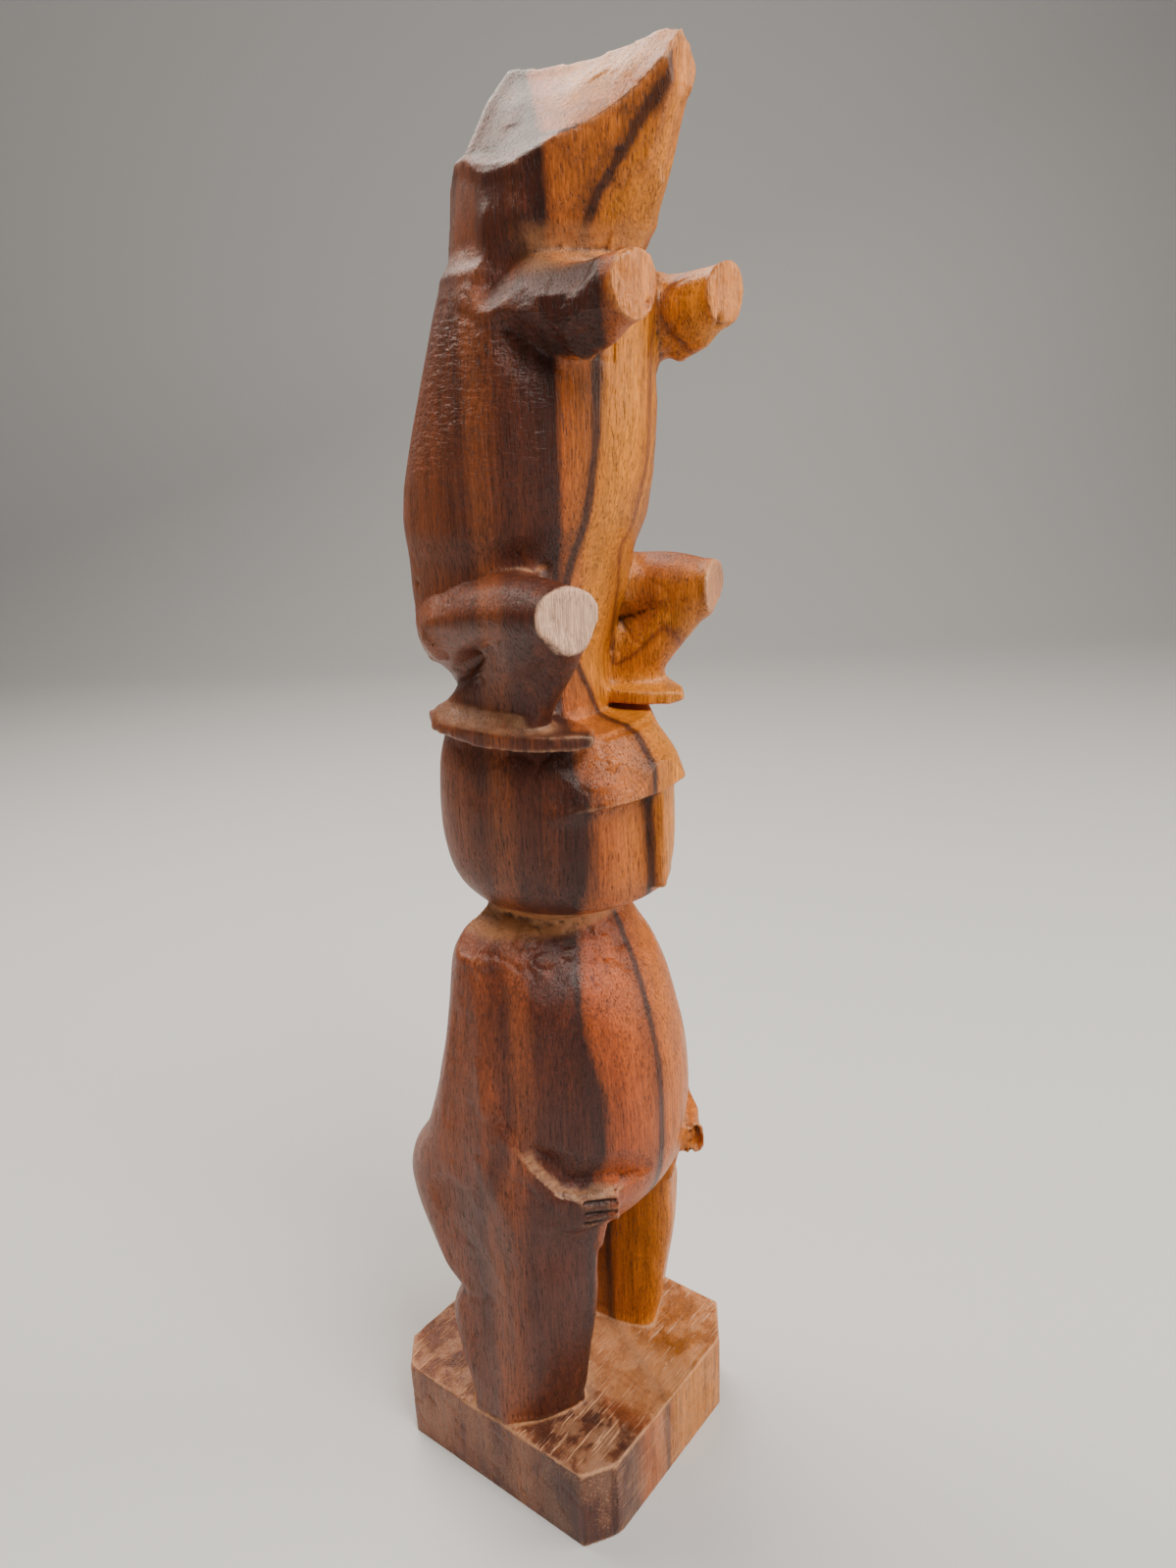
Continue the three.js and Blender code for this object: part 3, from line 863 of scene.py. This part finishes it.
# pale rubbed wood, also the colour of the painted highlights on the bevels
RUBBED_AND_HIGHLIGHT = (0.740, 0.380, 0.200, 1.0)
# pale sawn end grain, made near white as a painted highlight
KNEE_END_AND_HIGHLIGHT = (0.820, 0.500, 0.340, 1.0)
RUDDY = (0.82, 0.60, 0.85, 1.0)
# painted shade laid into the creases
CREASE_SHADE = (0.030, 0.010, 0.006, 1.0)

# Mottling of the base, dark to pale: [place on the noise's scale, colour]
BLOCK_TONES = [
    (0.40, (0.070, 0.024, 0.014)),
    (0.47, (0.170, 0.060, 0.030)),
    (0.52, (0.430, 0.190, 0.090)),
    (0.62, (0.600, 0.310, 0.180)),
]
SCRATCH_TURN = (0.0, 0.0, math.radians(38))  # slant of the scratches on the base's top


def growth_colour(n):
    """Dark heartwood, then orange wood with a thin dark vein in it."""
    # the layers wave along the block
    wander = n.swing(n.noise(n.stretched(0.05, 0.018), 1.0, 2.0), 4.0)
    ragged = n.swing(n.noise(n.stretched(0.9, 0.05), 1.0, 3.0), 1.8)
    layer = n.plus(n.attribute("layer"), n.plus(wander, ragged))
    span = LAYER_HIGH - LAYER_LOW
    stops = [((place - LAYER_LOW) / span, colour) for place, colour in LAYERS]
    colour = n.ramp(n.remap(layer, LAYER_LOW, LAYER_HIGH), stops)

    # orange streaks in the dark part
    streak = n.noise(n.stretched(0.30, 0.010), 1.0, 3.0)
    streaks = n.times(n.remap(streak, 0.52, 0.74, 0.0, 0.32), n.remap(layer, -1.5, -4.0))
    colour = n.mix(streaks, colour, STREAK)

    # the standing figure is a redder orange than the bear
    ruddy = n.times(n.attribute("ruddy"), n.remap(layer, -1.0, 1.5, 0.25, 0.85))
    colour = n.mix(ruddy, colour, RUDDY, "MULTIPLY")

    # the vein, with a brown shade beside it
    off_vein = n.plus(n.attribute("vein"), n.times(ragged, 0.5))
    shade = n.remap(n.math("ABSOLUTE", n.plus(off_vein, 1.0)), 0.5, 3.6, 0.45, 0.0)
    colour = n.mix(shade, colour, VEIN)
    line = n.remap(n.math("ABSOLUTE", off_vein), 0.5, 1.3, 0.85, 0.0)
    return n.mix(line, colour, VEIN)


def open_grain(n):
    """The fibres, the tone they and the bands give the wood, and its short dark pores."""
    fibre = n.noise(n.stretched(2.3, 0.05), 1.0, 4.0, 0.65)
    band = n.noise(n.stretched(0.45, 0.02), 1.0, 2.0)
    speck = n.noise(n.stretched(2.2, 1.1), 1.0, 3.0, 0.7)
    tone = n.plus(
        n.remap(fibre, 0.25, 0.75, 0.50, 1.50),
        n.remap(band, 0.3, 0.7, -0.2, 0.2),
        n.remap(speck, 0.3, 0.7, -0.26, 0.26),
    )
    pores = n.remap(n.noise(n.stretched(3.4, 0.32), 1.0, 2.0, 0.5), 0.60, 0.70)
    return fibre, tone, pores


def rough_block(n, colour):
    """The block left under the figure is mottled, and scratched across the grain."""
    mottle = n.noise(n.stretched(0.13, 0.05), 1.0, 4.0, 0.6)
    mottled = n.mix(0.35, n.ramp(mottle, BLOCK_TONES), colour)
    share = n.plus(n.times(n.attribute("block"), 0.32), n.times(n.attribute("block_top"), 0.50))
    colour = n.mix(share, colour, mottled)
    across = {"Vector": n.mm, "Rotation": SCRATCH_TURN, "Scale": (0.12, 2.6, 2.6)}
    scratch = n.noise(n.add("Mapping", across).outputs[0], 1.0, 2.0)
    scratch = n.times(n.remap(scratch, 0.56, 0.64), n.remap(mottle, 0.38, 0.48))
    scratch = n.times(scratch, share)
    return n.mix(n.times(scratch, 1.1), colour, RUBBED_AND_HIGHLIGHT), scratch


def cut_worn_and_painted_light(n, colour, tone):
    """Bare gouged places, the limbs' sawn ends with a painted highlight on the near knee, rubbed
    arrises with painted highlights on the bevels, and painted shade in the creases.
    """
    patch = n.noise(n.stretched(0.35, 0.8), 1.0, 3.0, 0.6)
    bare = n.times(n.attribute("raw"), n.remap(patch, 0.15, 0.50), clamp=True)
    colour = n.mix(n.times(bare, 0.7), colour, BARE)
    colour = n.mix(n.times(n.attribute("foreleg_end"), 0.9), colour, n.tint(FORELEG_END, tone))
    saw_line = n.remap(n.noise(n.stretched(4.2, 0.10), 1.0, 2.0), 0.42, 0.58, 0.62, 1.1)
    # pale sawn end grain with saw lines, stronger on the near knee as a painted highlight
    colour = n.mix(n.times(n.attribute("knee_end_and_highlight"), 0.85), colour, n.tint(KNEE_END_AND_HIGHLIGHT, saw_line))
    # rubbed edges made pale, with painted highlights on the forearm and foot bevels
    pale_edges = n.times(n.attribute("wear_and_highlight"), n.remap(patch, 0.3, 0.6, 0.25, 1.0))
    colour = n.mix(n.times(pale_edges, 0.4), colour, RUBBED_AND_HIGHLIGHT)
    # painted shade darkens the hollows
    return n.mix(n.times(n.attribute("crease_shade"), 0.75), colour, CREASE_SHADE), bare


def satin(n, bare, pores):
    """Roughness: rubbed smooth in patches, dull where the wood is bare or open."""
    rub = n.noise(n.stretched(0.22, 0.12), 1.0, 3.0)
    return n.plus(n.remap(rub, 0.3, 0.7, 0.30, 0.42), n.times(bare, 0.2), n.times(pores, 0.15))


def fine_relief(n, fibre, pores, scratch):
    """Fibres, pores, scratches and gouge ripples, too fine for the mesh."""
    ripple = n.times(n.noise(n.stretched(0.35, 1.05), 1.0, 2.0), n.attribute("rippled"))
    height = n.plus(
        n.times(fibre, 0.7),
        n.times(pores, -0.8),
        n.times(n.noise(n.mm, 1.3, 4.0, 0.65), 0.6),
        n.times(ripple, 2.2),
        n.times(scratch, -1.5),
    )
    return n.add("Bump", {"Strength": 0.8, "Distance": 0.25 * MM, "Height": height}).outputs[0]


def striped_hardwood():
    """Oiled hardwood with dark and golden growth layers, open grain, rubbed arrises, painted
    bevel highlights and painted crease shade.
    """
    n = WoodNodes("striped_hardwood")
    fibre, tone, pores = open_grain(n)
    colour = n.tint(growth_colour(n), tone)
    colour = n.mix(n.times(pores, 0.6), colour, PORE)
    colour, scratch = rough_block(n, colour)
    colour, bare = cut_worn_and_painted_light(n, colour, tone)
    shader = n.add(
        "BsdfPrincipled",
        {
            "Base Color": colour,
            "Roughness": satin(n, bare, pores),
            "IOR": 1.45,
            "Specular IOR Level": 0.45,
            "Normal": fine_relief(n, fibre, pores, scratch),
        },
    )
    n.add("OutputMaterial", {"Surface": shader.outputs[0]})
    return n.material


def plain(name, colour, roughness):
    n = Nodes(name)
    shader = n.add("BsdfPrincipled", {"Base Color": (*colour, 1.0), "Roughness": roughness})
    n.add("OutputMaterial", {"Surface": shader.outputs[0]})
    return n.material


# ---- studio ------------------------------------------------------------------------------


CAMERA_AZIMUTH = math.radians(-52.0)
CAMERA_PITCH = math.radians(18.47)
CAMERA_ROLL = math.radians(-2.34)
CAMERA_PLACE = (-0.1715, -0.1473, 0.2432)
CAMERA_LENS = 25.7

PALE_GREY = (0.62, 0.62, 0.62)
WARM_WHITE = (1.0, 0.96, 0.9, 1.0)
POLE_MIDDLE = (0.0, 0.0, 0.16)

# Soft lights on the pole's middle: [name, place, size, watts, colour]
LIGHTS = [
    ("overhead", (0.12, 0.42, 0.76), (0.64, 0.5), 8.5, (1.0, 0.90, 0.80)),
    ("front_top", (-0.12, -0.50, 0.85), (0.4, 0.4), 8.5, (1.0, 0.96, 0.90)),
    ("front_right", (0.50, -0.62, 0.45), (0.5, 0.6), 5.0, (1.0, 0.93, 0.84)),
]


def floor_and_backdrop():
    """A pale floor that sweeps up behind the pole."""
    shape = bmesh.new()
    width, front, back, rise, bend = 3.0, 1.2, 0.9, 1.8, 0.35
    turn = Matrix.Rotation(CAMERA_AZIMUTH, 3, "Z")
    profile = [(-front, 0.0), (back, 0.0)]
    profile += [
        (back + bend * math.sin(a), bend - bend * math.cos(a))
        for a in np.linspace(0.0, math.pi / 2, 9)[1:]
    ]
    profile.append((back + bend, rise))
    rows = [shape.verts.new(turn @ Vector((-width, y, z))) for y, z in profile]
    edges = [shape.edges.new(pair) for pair in zip(rows[:-1], rows[1:])]
    swept = bmesh.ops.extrude_edge_only(shape, edges=edges)["geom"]
    moved = [part for part in swept if isinstance(part, bmesh.types.BMVert)]
    bmesh.ops.translate(shape, verts=moved, vec=turn @ Vector((2 * width, 0.0, 0.0)))
    bmesh.ops.recalc_face_normals(shape, faces=shape.faces)
    mesh = bpy.data.meshes.new("studio_floor")
    shape.to_mesh(mesh)
    shape.free()
    mesh.shade_smooth()
    floor = bpy.data.objects.new("studio_floor", mesh)
    bpy.context.scene.collection.objects.link(floor)
    floor.data.materials.append(plain("pale_floor", PALE_GREY, 0.6))


def soft_light(name, place, size, watts, colour):
    light = bpy.data.lights.new(name, "AREA")
    light.shape = "RECTANGLE"
    light.size, light.size_y = size
    light.energy = watts
    light.color = colour
    lamp = bpy.data.objects.new(name, light)
    bpy.context.scene.collection.objects.link(lamp)
    lamp.location = place
    aim = Vector(POLE_MIDDLE) - Vector(place)
    lamp.rotation_euler = aim.to_track_quat("-Z", "Y").to_euler()


def camera():
    data = bpy.data.cameras.new("camera")
    data.lens = CAMERA_LENS
    data.sensor_width = 36.0
    data.sensor_fit = "AUTO"
    data.clip_start = 0.01
    eye = bpy.data.objects.new("camera", data)
    bpy.context.scene.collection.objects.link(eye)
    level = math.cos(CAMERA_PITCH)
    back = Vector((
        math.sin(CAMERA_AZIMUTH) * level,
        -math.cos(CAMERA_AZIMUTH) * level,
        math.sin(CAMERA_PITCH),
    ))
    right = (-back).cross(Vector((0, 0, 1))).normalized()
    up = right.cross(-back)
    tilted_right = math.cos(CAMERA_ROLL) * right + math.sin(CAMERA_ROLL) * up
    tilted_up = -math.sin(CAMERA_ROLL) * right + math.cos(CAMERA_ROLL) * up
    turn = Matrix((tilted_right, tilted_up, back)).transposed()
    eye.matrix_world = Matrix.Translation(CAMERA_PLACE) @ turn.to_4x4()
    bpy.context.scene.camera = eye


def studio():
    camera()
    floor_and_backdrop()
    world = bpy.data.worlds.new("studio")
    bpy.context.scene.world = world
    world.use_nodes = True
    background = world.node_tree.nodes["Background"]
    background.inputs["Color"].default_value = WARM_WHITE
    background.inputs["Strength"].default_value = 0.13
    for light in LIGHTS:
        soft_light(*light)


# ---- the scene ---------------------------------------------------------------------------

studio()
pole = totem_carving()
pole.data.materials.append(striped_hardwood())
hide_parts("totem_carving")
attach(pole, "root")
